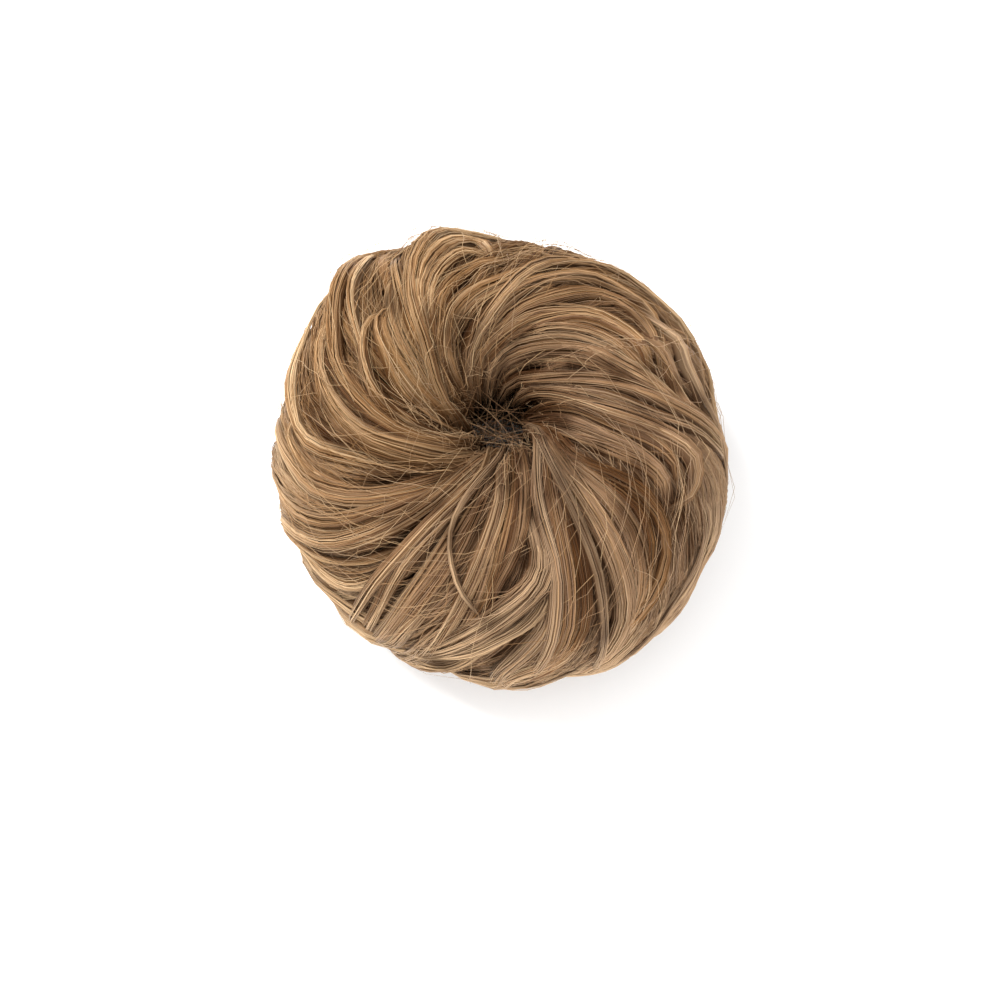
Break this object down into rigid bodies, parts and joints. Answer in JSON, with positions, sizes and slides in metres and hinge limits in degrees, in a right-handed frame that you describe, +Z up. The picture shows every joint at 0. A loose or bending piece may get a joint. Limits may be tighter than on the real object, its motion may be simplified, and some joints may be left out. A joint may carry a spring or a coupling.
{
  "type": "top knot hairpiece",
  "caption": "Ring of curled false hair sewn round an elastic band, worn over a tied knot to make a full messy bun.",
  "frame": {"origin": "middle of the bounding box, at the foot that the hairpiece lies on", "axes": "+Z up, along the axis of the hair opening; +Y towards the top of the picture and +X towards its right"},
  "size_m": [0.1164, 0.1212, 0.0512],
  "materials": {
    "upper_hair": "soft silky strands, honey brown",
    "side_hair": "soft silky strands, honey brown",
    "under_hair": "packed strands, dark brown",
    "elastic": "woven, matt, dark brown"
  },
  "bodies": {
    "root": {"elastic_band": "elastic", "under_hair": "under_hair", "upper_lock_01": "upper_hair", "upper_lock_02": "upper_hair", "upper_lock_03": "upper_hair", "upper_lock_04": "upper_hair", "upper_lock_05": "upper_hair", "upper_lock_06": "upper_hair", "upper_lock_07": "upper_hair", "upper_lock_08": "upper_hair", "upper_lock_09": "upper_hair", "upper_lock_10": "upper_hair", "upper_lock_11": "upper_hair", "upper_lock_12": "upper_hair", "upper_lock_13": "upper_hair", "upper_lock_14": "upper_hair", "upper_lock_15": "upper_hair", "upper_lock_16": "upper_hair", "upper_lock_17": "upper_hair", "upper_lock_18": "upper_hair", "upper_lock_19": "upper_hair", "upper_lock_20": "upper_hair", "upper_lock_21": "upper_hair", "upper_lock_22": "upper_hair", "side_lock_01": "side_hair", "side_lock_02": "side_hair", "side_lock_03": "side_hair", "side_lock_04": "side_hair", "side_lock_05": "side_hair", "side_lock_06": "side_hair", "side_lock_07": "side_hair", "side_lock_08": "side_hair", "side_lock_09": "side_hair", "side_lock_10": "side_hair", "side_lock_11": "side_hair", "side_lock_12": "side_hair"}
  },
  "joints": []
}
